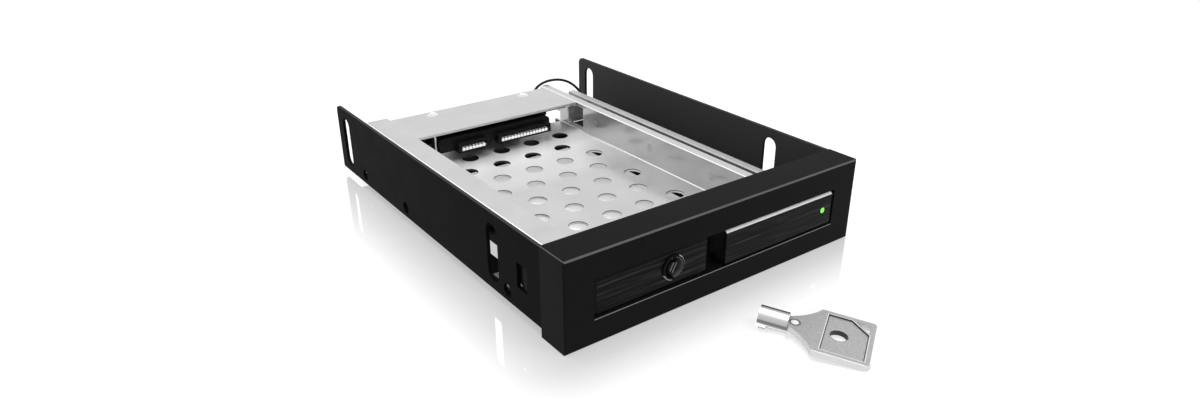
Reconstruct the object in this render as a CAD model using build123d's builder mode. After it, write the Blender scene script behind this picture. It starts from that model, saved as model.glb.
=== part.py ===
from build123d import *
from math import atan, cos, degrees, hypot, radians, sin, sqrt, tan
import os

# Hot swap drive cage for one 2.5 inch drive in a 3.5 inch bay, in millimetres.
# X runs right along the bezel, Y runs from the bezel to the rear, Z is up.
# The origin is the centre of the bezel's bottom face.

# Bezel
bezel_width = 101.6
bezel_height = 25.0
bezel_depth = 10.0
bezel_wall = 2.0
bezel_edge = 0.4
rib_thickness = 1.2
rib_spacing = 24.0

# Doorway in the bezel
doorway_width = 84.6
doorway_height = 10.8
doorway_sill = 7.0
tunnel_wall = 1.5
tunnel_depth = 6.5

# Chassis, one folded sheet
chassis_sheet = 1.0
chassis_bottom = 1.8
chassis_top = 24.8
chassis_rear = 136.5
chassis_bend = 1.2
plate_top_radius = 2.0
rim_rear = 125.0
cutout_front = 24.0
cutout_rear = 105.6
cutout_left = -42.0
cutout_right = 27.0
slot_width = 5.4
slot_length = 16.9
slot_height = 13.45
slot_front = 32.3
slot_rear = 129.6
side_hole_diameter = 3.6
side_hole_height = 3.9
side_hole_front = 25.5
side_hole_pitch = 60.0
side_hole_offset = 91.3

# Bezel's snap arms and the windows that they catch in
window_front = 15.8
window_length = 4.7
window_bottom = 9.1
window_height = 7.0
arm_thickness = 1.6
arm_overrun = 1.4
hook_depth = 0.8
hook_land = 1.2
snap_gap = 0.2

# Drive bay
drive_width = 69.85
drive_height = 9.5
drive_side_gap = 0.2
drive_top_gap = 0.2
bay_offset = -6.175
floor_top = 7.1
tray_sheet = 0.8
tray_bend = 0.4
tray_front = 10.6
floor_rear = 119.5
wall_rear = 133.0
rear_web_height = 6.0
right_flange_width = 3.05
corner_gap = 0.3

# Perforated floor
hole_diameter = 5.8
hole_pitch = 12.3
hole_rows = 9
holes_per_row = 4
hole_first_x = -17.3
hole_first_y = 106.0

# Feet of the tray and their screws
foot_width = 12.0
foot_reach = 6.6
foot_stations = (32.0, 76.0, 117.0)
foot_screw_inset = 3.3
foot_screw_diameter = 2.5
foot_head_diameter = 4.6
foot_head_height = 1.3
screw_clearance = 0.1

# Top cover
cover_sheet = 0.8
strip_inner = -34.9
plate_front = 108.25
plate_rear = 130.2
plate_gap = 0.3
corner_tab_rear = 133.0
cover_lip_depth = 5.0
rivet_diameter = 2.4
rivet_head_diameter = 4.6
rivet_head_height = 0.8
cover_rivet_drop = 2.5
cover_rivet_stations = (24.0, 64.0, 100.0)
cover_screw_diameter = 2.4
cover_screw_head = 4.0
cover_screw_centre = -1.75
cover_screw_pitch = 37.5
cover_screw_station = 127.1

# Board and what it carries
board_sheet = 1.6
board_drop = 2.6
board_left = -40.8
board_right = 27.9
board_front = 111.5
board_step = 114.0
board_step_x = 17.5
board_rear = 129.5
nut_width = 5.0
nut_height = 2.0
nut_corner_gap = 0.3
spacer_diameter = 5.0
post_front = 109.5
post_width = 5.1
post_depth = 7.5
post_right = -29.4
contact_pitch = 1.27
contact_width = 0.8
contact_sheet = 0.3
signal_pin_count = 7
power_pin_count = 15
socket_left = -28.0
socket_right = 15.8
socket_front = 107.0
socket_rear = 116.0
socket_top = 15.3
socket_bottom = 10.9
socket_chamfer = 0.8
housing_reach = 2.2
housing_top = 13.4
housing_bottom = 10.3
housing_margin = 1.9
signal_centre = -16.25
power_centre = 4.15
mouth_bottom = 11.9
mouth_height = 0.9
mouth_margin = 0.9
mouth_depth = 4.0
ground_tab_x = -29.0
ground_tab_sheet = 0.6
ground_tab_bottom = 9.0
port_height = 6.0
port_length = 11.0
port_wall = 1.1
port_cavity = 7.0
port_rear = 130.0
tongue_thickness = 1.2
data_port_centre = -30.4
power_port_centre = -1.75
header_x = 26.0
header_width = 4.0
header_height = 3.2
header_length = 6.0
header_rear = 129.7
chip_length = 6.0
chip_width = 5.0
chip_height = 1.6
chip_x = -18.0
chip_y = 119.0
capacitor_diameter = 4.0
capacitor_height = 3.2
capacitor_x = 19.0
capacitor_y = 118.0

# Door and its hinge
door_gap = 0.3
door_depth = 6.2
hinge_inset = 2.2
hinge_pin_diameter = 2.0
hinge_pin_reach = 2.1
hinge_pin_seat = 3.3
hinge_boss_wall = 1.2
running_gap = 0.05
seat_gap = 0.02
panel_sheet = 1.0
left_panel_recess = 0.9
left_panel_margin = 0.3
left_panel_right = -6.1
pocket_left = -5.9
pocket_floor_right = -1.5
pocket_depth = 5.2
pocket_sill = 2.4
handle_left = 0.0
handle_overhang = 1.9
handle_end_gap = 0.7
handle_bottom_gap = 0.5
handle_chamfer = 0.8
light_pipe_diameter = 1.6
light_pipe_offset = 0.16
light_height = 12.5
light_pipe_end_gap = 0.2

# Lock in the door
lock_x = -17.5
lock_height = 12.4
lock_ring_diameter = 7.0
lock_ring_rise = 0.6
lock_body_diameter = 6.4
lock_bore_diameter = 5.6
lock_length = 6.3
plug_gap = 0.08
post_diameter = 3.5
post_recess = 0.4
keyway_depth = 3.0
keyway_width = 1.0
keyway_height = 0.35
ring_chamfer = 0.15
clip_diameter = 8.4
clip_sheet = 0.4
cam_sheet = 0.8
cam_gap = 0.4
cam_reach = 7.4
cam_width = 4.2
cam_screw_diameter = 2.4
cam_screw_head = 3.8
cam_screw_head_height = 0.8
cam_screw_length = 2.0

# Ejector slide, moved by a pin in the door
crank_radius = 3.4
crank_angle = 132.5
yoke_pin_diameter = 1.4
yoke_pin_length = 3.8
yoke_slot_gap = 0.25
yoke_prong = 0.8
yoke_spine = 0.8
yoke_lead = 0.5
slide_sheet = 0.8
tongue_height = 10.1
slit_gap = 0.3
slide_gap = 4.25
slide_flange_width = 2.7
slide_front = 12.0
slide_rear = 121.0
slide_bottom = 9.0
slide_travel = 5.0
pusher_station = 110.2
pusher_reach = 2.55
pusher_bottom = 9.4
pusher_top = 15.4
pusher_gap = 0.8
guide_stations = (36.0, 66.0, 97.0)
guide_height = 12.8
guide_diameter = 2.4
guide_bush_diameter = 4.6
guide_side_gap = 0.1
guide_end_gap = 0.3

# Status light and its lead
led_diameter = 2.0
led_flange_diameter = 2.6
led_flange = 0.6
led_front = 7.0
led_rear = 10.9
holder_left_reach = 0.94
holder_offset = 0.68
holder_height = 2.8
holder_rear = 10.0
lead_diameter = 1.0
lead_height = 12.6
lead_exit_run = 2.5
lead_entry_run = 3.2

# Key, lying in front of the bezel
key_x = -1.53
key_y = -23.84
key_heading = -58.8
key_tube_diameter = 5.3
key_tube_bore = 3.7
key_tube_length = 7.2
key_tube_cavity = 5.8
key_nub_length = 2.2
key_nub_width = 1.1
key_nub_height = 0.5
key_nub_angle = 30.0
bow_width = 19.0
bow_shoulder = 7.0
bow_length = 20.4
bow_sheet = 1.6
bow_corner = 2.0
bow_neck = 4.4
bow_stem = 0.8
bow_rim = 1.6
bow_panel_sink = 0.3
bow_hole_diameter = 4.3
bow_hole_station = 12.1
ring_slot_side = 4.6

# Places worked out from the sizes above. A station is a distance behind the bezel's front face.
front = -bezel_depth / 2
back = bezel_depth / 2
door_middle = doorway_sill + doorway_height / 2
doorway_top = doorway_sill + doorway_height
side_inner = bezel_width / 2 - chassis_sheet
bay_width = drive_width + 2 * drive_side_gap
bay_left = bay_offset - bay_width / 2
bay_right = bay_offset + bay_width / 2
floor_bottom = floor_top - tray_sheet
wall_top = floor_top + drive_height + drive_top_gap
cover_top = wall_top + cover_sheet
plate_right = bay_right - plate_gap
rivet_z = cover_top - cover_rivet_drop
rim_top = chassis_bottom + chassis_sheet
board_bottom = wall_top - board_drop
board_top = board_bottom + board_sheet
slide_inner = bay_right + tray_sheet + slide_gap
slide_outer = slide_inner + slide_sheet
slide_top = cover_top
hinge_y = front + hinge_inset
hinge_radius = door_depth - hinge_inset
hinge_x = doorway_width / 2 - door_gap - hinge_radius
handle_right = doorway_width / 2 - door_gap - handle_end_gap
light_pipe_x = hinge_x - light_pipe_offset
holder_left = light_pipe_x - holder_left_reach
holder_right = (light_pipe_x + bezel_width / 2 - bezel_wall) / 2 + holder_offset
door_left = -doorway_width / 2 + door_gap
door_bottom = doorway_sill + door_gap
door_top = doorway_top - door_gap
door_back = front + door_depth
left_panel_back = front + left_panel_recess + panel_sheet
handle_back = front + panel_sheet
crank_x = hinge_x + crank_radius * cos(radians(crank_angle))
crank_y = hinge_y + crank_radius * sin(radians(crank_angle))
cover_screw_xs = (cover_screw_centre - cover_screw_pitch / 2, cover_screw_centre + cover_screw_pitch / 2)
foot_screw_xs = (bay_left - tray_sheet - foot_screw_inset, bay_right + tray_sheet + foot_screw_inset)
cut = 200.0


def facing_front(station):
    """Vertical plane at a station, with X right and Z up, whose extrusions run towards the front."""
    return Plane.XZ.offset(-(front + station))


def at_height(z):
    return Plane.XY.offset(z)


def lock_axis(station):
    """Plane square to the lock's axis, at a station."""
    return Plane(origin=(lock_x, front + station, lock_height), x_dir=(1, 0, 0), z_dir=(0, -1, 0))


def long_edges(form, height):
    """Edges of a form that run along Y at a height."""
    return form.edges().filter_by(Axis.Y).filter_by(lambda edge: abs(edge.center().Z - height) < seat_gap)


# Bezel: a hollow moulding with a tunnel round the doorway, hinge bosses, ribs and two snap arms
with BuildPart() as bezel:
    with Locations((0, 0, bezel_height / 2)):
        Box(bezel_width, bezel_depth, bezel_height)
    with BuildSketch(facing_front(bezel_depth)):
        with Locations((0, bezel_height / 2)):
            Rectangle(bezel_width - 2 * bezel_wall, bezel_height - 2 * bezel_wall)
    extrude(amount=bezel_depth - bezel_wall, mode=Mode.SUBTRACT)
    with BuildSketch(facing_front(tunnel_depth)):
        with Locations((0, door_middle)):
            Rectangle(doorway_width + 2 * tunnel_wall, doorway_height + 2 * tunnel_wall)
        with Locations((0, bezel_height / 2)):
            with GridLocations(rib_spacing, 1, 4, 1):
                Rectangle(rib_thickness, bezel_height - bezel_wall)
    extrude(amount=tunnel_depth - bezel_wall / 2)
    with BuildSketch(at_height(bezel_wall / 2)):
        with Locations((hinge_x, hinge_y)):
            Circle(hinge_pin_diameter / 2 + hinge_boss_wall)
    extrude(amount=bezel_height - bezel_wall)
    with BuildSketch(facing_front(bezel_depth)):
        with Locations((0, door_middle)):
            Rectangle(doorway_width, doorway_height)
    extrude(amount=cut, mode=Mode.SUBTRACT)
    with BuildSketch(at_height(doorway_sill - hinge_pin_seat - running_gap)):
        with Locations((hinge_x, hinge_y)):
            Circle(hinge_pin_diameter / 2 + running_gap)
    extrude(amount=doorway_height + 2 * (hinge_pin_seat + running_gap), mode=Mode.SUBTRACT)
    chamfer(bezel.faces().sort_by(Axis.Y)[0].outer_wire().edges(), bezel_edge)
    arm_outer = side_inner - guide_side_gap
    catch_y = front + window_front + snap_gap
    hook_end = front + window_front + window_length - snap_gap
    for side in (-1, 1):
        with BuildSketch(at_height(window_bottom + 2 * snap_gap)):
            with BuildLine():
                Polyline(
                    (side * (arm_outer - arm_thickness), front + bezel_wall / 2),
                    (side * arm_outer, front + bezel_wall / 2),
                    (side * arm_outer, catch_y),
                    (side * (arm_outer + hook_depth), catch_y),
                    (side * (arm_outer + hook_depth), catch_y + hook_land),
                    (side * arm_outer, hook_end),
                    (side * arm_outer, hook_end + arm_overrun),
                    (side * (arm_outer - arm_thickness), hook_end + arm_overrun),
                    close=True,
                )
            make_face()
        extrude(amount=window_height - 4 * snap_gap)

# Chassis: one sheet folded into a channel, open in the middle of its bottom
with BuildPart() as chassis:
    chassis_length = chassis_rear - bezel_depth
    with BuildSketch(facing_front(chassis_rear)):
        with Locations((0, (chassis_top + chassis_bottom) / 2)):
            Rectangle(bezel_width, chassis_top - chassis_bottom)
        with Locations((0, rim_top + cut / 2)):
            Rectangle(2 * side_inner, cut, mode=Mode.SUBTRACT)
    extrude(amount=chassis_length)
    fillet(chassis.edges().filter_by(Axis.Y).group_by(Axis.Z)[0], chassis_bend)
    with BuildSketch(at_height(chassis_bottom)):
        with BuildLine():
            Polyline(
                (cutout_left, front + cutout_front),
                (cutout_right, front + cutout_front),
                (cutout_right, front + cutout_rear),
                (cutout_left, front + cutout_rear),
                close=True,
            )
        make_face()
        fillet(vertices(), plate_top_radius)
        with Locations((0, front + rim_rear + cut / 2)):
            Rectangle(2 * side_inner, cut)
    extrude(amount=chassis_sheet, mode=Mode.SUBTRACT)
    with BuildSketch(Plane.YZ):
        with Locations((front + slot_front, slot_height), (front + slot_rear, slot_height)):
            SlotOverall(slot_length, slot_width, rotation=90)
        with Locations(
            (front + side_hole_front, chassis_bottom + side_hole_height),
            (front + side_hole_front + side_hole_pitch, chassis_bottom + side_hole_height),
            (front + side_hole_front + side_hole_offset, chassis_bottom + side_hole_height),
        ):
            Circle(side_hole_diameter / 2)
        with Locations((front + window_front + window_length / 2, window_bottom + window_height / 2)):
            Rectangle(window_length, window_height)
    extrude(amount=cut, both=True, mode=Mode.SUBTRACT)
    with BuildSketch(at_height(chassis_bottom)):
        with Locations([(x, front + y) for x in foot_screw_xs for y in foot_stations]):
            Circle(foot_screw_diameter / 2 + screw_clearance)
    extrude(amount=chassis_sheet, mode=Mode.SUBTRACT)
    rear_corners = chassis.edges().filter_by(Axis.X).group_by(Axis.Y)[-1]
    fillet(rear_corners.group_by(Axis.Z)[-1], plate_top_radius)

# Drive tray: perforated floor, two walls, an outward flange on the right and six feet
with BuildPart() as drive_tray:
    with BuildSketch(facing_front(floor_rear)):
        with Locations((bay_offset, floor_bottom)):
            Rectangle(bay_width, tray_sheet, align=(Align.CENTER, Align.MIN))
        with Locations((bay_left, floor_bottom)):
            Rectangle(tray_sheet, wall_top - floor_bottom, align=(Align.MAX, Align.MIN))
        with Locations((bay_right, floor_bottom)):
            Rectangle(tray_sheet, cover_top - floor_bottom, align=(Align.MIN, Align.MIN))
    extrude(amount=floor_rear - tray_front)
    fillet(long_edges(drive_tray, floor_bottom), tray_bend + tray_sheet)
    fillet(long_edges(drive_tray, floor_top), tray_bend)
    with BuildSketch(facing_front(wall_rear)):
        with Locations((bay_left, wall_top)):
            Rectangle(tray_sheet, rear_web_height, align=(Align.MAX, Align.MAX))
        with Locations((bay_right, cover_top)):
            Rectangle(tray_sheet, rear_web_height + cover_sheet, align=(Align.MIN, Align.MAX))
    extrude(amount=wall_rear - floor_rear)
    with BuildSketch(facing_front(wall_rear)):
        with Locations((bay_right, cover_top)):
            Rectangle(right_flange_width, tray_sheet, align=(Align.MIN, Align.MAX))
    extrude(amount=wall_rear - tray_front)
    fillet(long_edges(drive_tray, cover_top).sort_by(Axis.X)[0], tray_bend)
    row_pitch = hole_pitch * sin(radians(60))
    with BuildSketch(at_height(floor_bottom)):
        for row in range(hole_rows):
            first = hole_first_x - (row % 2) * hole_pitch / 2
            with Locations([(first + k * hole_pitch, front + hole_first_y - row * row_pitch)
                            for k in range(holes_per_row)]):
                Circle(hole_diameter / 2)
    extrude(amount=tray_sheet, mode=Mode.SUBTRACT)
    for side, wall in ((-1, bay_left), (1, bay_right)):
        leg_x = wall + side * tray_sheet / 2
        foot_x = wall + side * foot_reach / 2
        for station in foot_stations:
            with Locations((leg_x, front + station, (rim_top + floor_top) / 2)):
                Box(tray_sheet, foot_width, floor_top - rim_top)
            with Locations((foot_x, front + station, rim_top + tray_sheet / 2)):
                Box(foot_reach, foot_width, tray_sheet)
    with BuildSketch(at_height(rim_top)):
        with Locations([(x, front + y) for x in foot_screw_xs for y in foot_stations]):
            Circle(foot_screw_diameter / 2 + screw_clearance)
    extrude(amount=tray_sheet, mode=Mode.SUBTRACT)
    with BuildSketch(Plane.YZ.offset(bay_right)):
        with Locations([(front + y, guide_height) for y in guide_stations]):
            Circle(guide_diameter / 2 + seat_gap)
        pusher_path = slide_travel + slide_sheet + 2 * pusher_gap
        path_middle = front + pusher_station + slide_sheet + pusher_gap - pusher_path / 2
        with Locations((path_middle, (pusher_bottom + pusher_top) / 2)):
            Rectangle(pusher_path, pusher_top - pusher_bottom + 2 * pusher_gap)
    extrude(amount=tray_sheet, mode=Mode.SUBTRACT)
    with BuildSketch(Plane.YZ.offset(bay_left)):
        with Locations([(front + y, rivet_z) for y in cover_rivet_stations]):
            Circle(rivet_diameter / 2 + seat_gap)
    extrude(amount=-tray_sheet, mode=Mode.SUBTRACT)

# Top cover: strip over the drive's left edge, plate over the socket, lip down the left wall and a folded tab
with BuildPart() as top_cover:
    cover_left = bay_left - tray_sheet
    with BuildSketch(at_height(wall_top)):
        with BuildLine():
            Polyline(
                (cover_left - cover_sheet, front + tray_front + corner_gap),
                (strip_inner, front + tray_front + corner_gap),
                (strip_inner, front + plate_front),
                (plate_right, front + plate_front),
                (plate_right, front + plate_rear),
                (strip_inner, front + plate_rear),
                (strip_inner, front + corner_tab_rear),
                (cover_left - cover_sheet, front + corner_tab_rear),
                close=True,
            )
        make_face()
        with Locations([(x, front + cover_screw_station) for x in cover_screw_xs]):
            Circle(cover_screw_diameter / 2 + screw_clearance, mode=Mode.SUBTRACT)
    extrude(amount=cover_sheet)
    with BuildSketch(Plane.YZ.offset(cover_left)):
        with Locations((front + (tray_front + wall_rear) / 2, cover_top)):
            Rectangle(wall_rear - tray_front - 2 * corner_gap, cover_lip_depth, align=(Align.CENTER, Align.MAX))
    extrude(amount=-cover_sheet)
    with BuildSketch(Plane.YZ.offset(cover_left)):
        with Locations([(front + y, rivet_z) for y in cover_rivet_stations]):
            Circle(rivet_diameter / 2 + seat_gap)
    extrude(amount=-cover_sheet, mode=Mode.SUBTRACT)
    fillet(long_edges(top_cover, cover_top).sort_by(Axis.X)[0], cover_sheet - 2 * seat_gap)
    sink_angle = 2 * degrees(atan((cover_screw_head - cover_screw_diameter) / 2 / cover_sheet))
    with Locations([(x, front + cover_screw_station, cover_top) for x in cover_screw_xs]):
        CounterSinkHole(
            radius=cover_screw_diameter / 2 + screw_clearance,
            counter_sink_radius=cover_screw_head / 2 + screw_clearance,
            depth=cover_sheet,
            counter_sink_angle=sink_angle,
        )
    with Locations((ground_tab_x, front + plate_front, ground_tab_bottom)):
        Box(ground_tab_sheet, board_front - corner_gap - plate_front, wall_top - ground_tab_bottom,
            align=(Align.MIN, Align.MIN, Align.MIN))

# Countersunk screws through the plate, the spacers and the board
with BuildPart() as cover_screws:
    with BuildSketch(Plane.XZ):
        with BuildLine():
            Polyline(
                (0, cover_top - screw_clearance),
                (cover_screw_head / 2, cover_top - screw_clearance),
                (cover_screw_diameter / 2, wall_top),
                (cover_screw_diameter / 2, board_bottom - nut_height),
                (0, board_bottom - nut_height),
                close=True,
            )
        make_face()
    screw_form = revolve(axis=Axis.Z, mode=Mode.PRIVATE)
    with Locations([(x, front + cover_screw_station, 0) for x in cover_screw_xs]):
        add(screw_form)

# Spacer rings between the plate and the board
with BuildPart() as board_spacers:
    with BuildSketch(at_height(board_top)):
        with Locations([(x, front + cover_screw_station) for x in cover_screw_xs]):
            Circle(spacer_diameter / 2)
            Circle(cover_screw_diameter / 2 + screw_clearance, mode=Mode.SUBTRACT)
    extrude(amount=wall_top - board_top)

# Hexagon nuts under the board
with BuildPart() as board_nuts:
    with BuildSketch(at_height(board_bottom - nut_height)):
        with Locations([(x, front + cover_screw_station) for x in cover_screw_xs]):
            RegularPolygon(nut_width / 2, 6, major_radius=False)
            Circle(cover_screw_diameter / 2 + seat_gap, mode=Mode.SUBTRACT)
    extrude(amount=nut_height)

# Circuit board, flat under the plate
with BuildPart() as backplane:
    with BuildSketch(at_height(board_bottom)):
        with BuildLine():
            Polyline(
                (board_left, front + board_front),
                (board_step_x, front + board_front),
                (board_step_x, front + board_step),
                (board_right, front + board_step),
                (board_right, front + board_rear),
                (board_left, front + board_rear),
                close=True,
            )
        make_face()
        with Locations([(x, front + cover_screw_station) for x in cover_screw_xs]):
            Circle(cover_screw_diameter / 2 + screw_clearance, mode=Mode.SUBTRACT)
    extrude(amount=board_sheet)

# Post that carries the board's left end on the tray floor
with BuildPart() as board_post:
    with BuildSketch(at_height(floor_top)):
        with Locations((post_right - post_width / 2, front + post_front + post_depth / 2)):
            Rectangle(post_width, post_depth)
    extrude(amount=board_bottom - floor_top)
    fillet(board_post.edges().filter_by(Axis.Z), corner_gap)

# Drive socket: bar with two housings whose mouths hold the contacts, and its foot under the board
signal_span = (signal_pin_count - 1) * contact_pitch + 2 * housing_margin
power_span = (power_pin_count - 1) * contact_pitch + 2 * housing_margin
with BuildPart() as sata_socket:
    with BuildSketch(facing_front(board_front)):
        with Locations(((socket_left + socket_right) / 2, socket_bottom)):
            Rectangle(socket_right - socket_left, socket_top - socket_bottom, align=(Align.CENTER, Align.MIN))
        chamfer(vertices().group_by(Axis.Y)[-1], socket_chamfer)
    extrude(amount=board_front - socket_front)
    with BuildSketch(facing_front(socket_rear)):
        with Locations(((socket_left + socket_right) / 2, socket_bottom)):
            Rectangle(socket_right - socket_left - 2 * housing_margin, board_bottom - socket_bottom,
                      align=(Align.CENTER, Align.MIN))
    extrude(amount=socket_rear - board_front)
    housings = ((signal_centre, signal_span), (power_centre, power_span))
    with BuildSketch(facing_front(socket_front + mouth_depth / 4)):
        for centre, span in housings:
            with Locations((centre, housing_bottom)):
                Rectangle(span, housing_top - housing_bottom, align=(Align.CENTER, Align.MIN))
    extrude(amount=housing_reach + mouth_depth / 4)
    with BuildSketch(facing_front(socket_front - housing_reach)):
        for centre, span in housings:
            with Locations((centre, mouth_bottom)):
                Rectangle(span - 2 * mouth_margin, mouth_height, align=(Align.CENTER, Align.MIN))
    extrude(amount=-mouth_depth, mode=Mode.SUBTRACT)


def contact_row(centre, pin_count, station_front, station_rear, height):
    """Flat contacts side by side, lying on the floor of a mouth or on a tongue."""
    length = station_rear - station_front
    first = centre - (pin_count - 1) * contact_pitch / 2
    with BuildPart() as row:
        with Locations([(first + k * contact_pitch, front + station_front, height) for k in range(pin_count)]):
            Box(contact_width, length, contact_sheet, align=(Align.CENTER, Align.MIN, Align.MIN))
    return row


contact_tip = socket_front - housing_reach + corner_gap
contact_root = socket_front - housing_reach + mouth_depth
signal_contacts = contact_row(signal_centre, signal_pin_count, contact_tip, contact_root, mouth_bottom)
power_contacts = contact_row(power_centre, power_pin_count, contact_tip, contact_root, mouth_bottom)


def rear_port(centre, pin_count):
    """Open box under the board's rear edge, with a flat tongue in it."""
    span = (pin_count - 1) * contact_pitch + 2 * housing_margin
    with BuildPart() as port:
        with BuildSketch(facing_front(port_rear)):
            with Locations((centre, board_bottom)):
                Rectangle(span + 2 * port_wall, port_height, align=(Align.CENTER, Align.MAX))
        extrude(amount=port_length)
        with BuildSketch(facing_front(port_rear)):
            with Locations((centre, board_bottom - port_wall)):
                Rectangle(span, port_height - 2 * port_wall, align=(Align.CENTER, Align.MAX))
            with Locations((centre, board_bottom - port_height / 2)):
                Rectangle(span - 2 * port_wall, tongue_thickness, mode=Mode.SUBTRACT)
        extrude(amount=port_cavity, mode=Mode.SUBTRACT)
    return port


data_port = rear_port(data_port_centre, signal_pin_count)
power_port = rear_port(power_port_centre, power_pin_count)
port_contact_z = board_bottom - port_height / 2 + tongue_thickness / 2
port_contact_front = port_rear - port_cavity
port_contact_rear = port_rear - corner_gap
data_port_contacts = contact_row(
    data_port_centre, signal_pin_count, port_contact_front, port_contact_rear, port_contact_z
)
power_port_contacts = contact_row(
    power_port_centre, power_pin_count, port_contact_front, port_contact_rear, port_contact_z
)

# Small parts soldered under the board
with BuildPart() as board_chip:
    with Locations((chip_x, front + chip_y, board_bottom)):
        Box(chip_length, chip_width, chip_height, align=(Align.CENTER, Align.CENTER, Align.MAX))
    chamfer(board_chip.faces().sort_by(Axis.Z)[0].edges(), corner_gap)
with BuildPart() as board_capacitor:
    with BuildSketch(at_height(board_bottom)):
        with Locations((capacitor_x, front + capacitor_y)):
            Circle(capacitor_diameter / 2)
    extrude(amount=-capacitor_height)
    fillet(board_capacitor.faces().sort_by(Axis.Z)[0].edges(), corner_gap)
with BuildPart() as lead_header:
    with Locations((header_x, front + header_rear, board_bottom)):
        Box(header_width, header_length, header_height, align=(Align.CENTER, Align.MAX, Align.MAX))
    chamfer(lead_header.faces().sort_by(Axis.Y)[-1].edges(), corner_gap)

# Screws that hold the tray's feet to the chassis rim
with BuildPart() as foot_screws:
    foot_top = rim_top + tray_sheet
    with BuildSketch(at_height(chassis_bottom)):
        with Locations([(x, front + y) for x in foot_screw_xs for y in foot_stations]):
            Circle(foot_screw_diameter / 2)
    extrude(amount=foot_top - chassis_bottom)
    with BuildSketch(at_height(foot_top)):
        with Locations([(x, front + y) for x in foot_screw_xs for y in foot_stations]):
            Circle(foot_head_diameter / 2)
    extrude(amount=foot_head_height)
    chamfer(foot_screws.faces().filter_by(Axis.Z).group_by(Axis.Z)[-1].edges(), corner_gap)

# Rivets that hold the cover's lip to the tray's left wall
with BuildPart() as cover_rivets:
    with BuildSketch(Plane.YZ.offset(bay_left)):
        with Locations([(front + y, rivet_z) for y in cover_rivet_stations]):
            Circle(rivet_diameter / 2)
    extrude(amount=-(tray_sheet + cover_sheet))
    with BuildSketch(Plane.YZ.offset(bay_left - tray_sheet - cover_sheet)):
        with Locations([(front + y, rivet_z) for y in cover_rivet_stations]):
            Circle(rivet_head_diameter / 2)
    extrude(amount=-rivet_head_height)
    chamfer(cover_rivets.faces().filter_by(Axis.X).group_by(Axis.X)[0].edges(), corner_gap)

# Door: rounded at the hinge, with a seat for each panel and a pocket for the fingers
yoke_slit_bottom = tongue_height - slit_gap
yoke_slit_height = slide_sheet + 2 * slit_gap
with BuildPart() as door_body:
    handle_end = hinge_x + sqrt(hinge_radius**2 - (hinge_inset - panel_sheet) ** 2)
    with BuildSketch(at_height(door_bottom)):
        with BuildLine():
            Polyline(
                (hinge_x, door_back),
                (door_left, door_back),
                (door_left, left_panel_back),
                (pocket_left, left_panel_back),
                (pocket_left, front + pocket_depth),
                (pocket_floor_right, front + pocket_depth),
                (handle_left + handle_overhang, handle_back),
                (handle_end, handle_back),
            )
            ThreePointArc((handle_end, handle_back), (hinge_x + hinge_radius, hinge_y), (hinge_x, door_back))
        make_face()
    extrude(amount=door_top - door_bottom)
    with BuildSketch(at_height(door_bottom)):
        with Locations((pocket_left, left_panel_back)):
            Rectangle(handle_left - pocket_left, front + pocket_depth - left_panel_back,
                      align=(Align.MIN, Align.MIN))
    extrude(amount=pocket_sill, mode=Mode.SUBTRACT)
    with BuildSketch(at_height(yoke_slit_bottom)):
        with Locations((slide_inner - yoke_spine - 2 * slit_gap, handle_back)):
            Rectangle(cut, cut, align=(Align.MIN, Align.MIN))
    extrude(amount=yoke_slit_height, mode=Mode.SUBTRACT)
    with BuildSketch(at_height(tongue_height + slide_sheet / 2 - yoke_pin_length / 2)):
        with Locations((crank_x, crank_y)):
            Circle(yoke_pin_diameter / 2 + seat_gap)
    extrude(amount=yoke_pin_length, mode=Mode.SUBTRACT)
    for end, way in ((door_bottom, 1), (door_top, -1)):
        with BuildSketch(at_height(end)):
            with Locations((hinge_x, hinge_y)):
                Circle(hinge_pin_diameter / 2 + seat_gap)
        extrude(amount=way * hinge_pin_reach, mode=Mode.SUBTRACT)
    with BuildSketch(facing_front(door_depth)):
        with Locations((light_pipe_x, light_height)):
            Circle(light_pipe_diameter / 2 + running_gap)
        with Locations((lock_x, lock_height)):
            Circle(lock_body_diameter / 2 + seat_gap)
    extrude(amount=cut, mode=Mode.SUBTRACT)

# Panels on the front of the door
with BuildPart() as lock_panel:
    panel_left = door_left + left_panel_margin
    with BuildSketch(facing_front(left_panel_recess + panel_sheet)):
        with Locations((panel_left, door_bottom + left_panel_margin)):
            Rectangle(left_panel_right - panel_left, door_top - door_bottom - 2 * left_panel_margin,
                      align=(Align.MIN, Align.MIN))
        with Locations((lock_x, lock_height)):
            Circle(lock_body_diameter / 2 + seat_gap, mode=Mode.SUBTRACT)
    extrude(amount=panel_sheet)
with BuildPart() as handle_panel:
    with BuildSketch(facing_front(panel_sheet)):
        with Locations((handle_left, door_bottom + handle_bottom_gap)):
            Rectangle(handle_right - handle_left, door_top - door_bottom - handle_bottom_gap,
                      align=(Align.MIN, Align.MIN))
        with Locations((light_pipe_x, light_height)):
            Circle(light_pipe_diameter / 2 + running_gap, mode=Mode.SUBTRACT)
    extrude(amount=panel_sheet)
    face = handle_panel.faces().sort_by(Axis.Y)[0]
    chamfer(face.outer_wire().edges().sort_by(Axis.Z)[-1], handle_chamfer)

# Clear rod that carries the light through the door
with BuildPart() as light_pipe:
    with BuildSketch(facing_front(door_depth - light_pipe_end_gap)):
        with Locations((light_pipe_x, light_height)):
            Circle(light_pipe_diameter / 2)
    extrude(amount=door_depth - light_pipe_end_gap)

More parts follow.
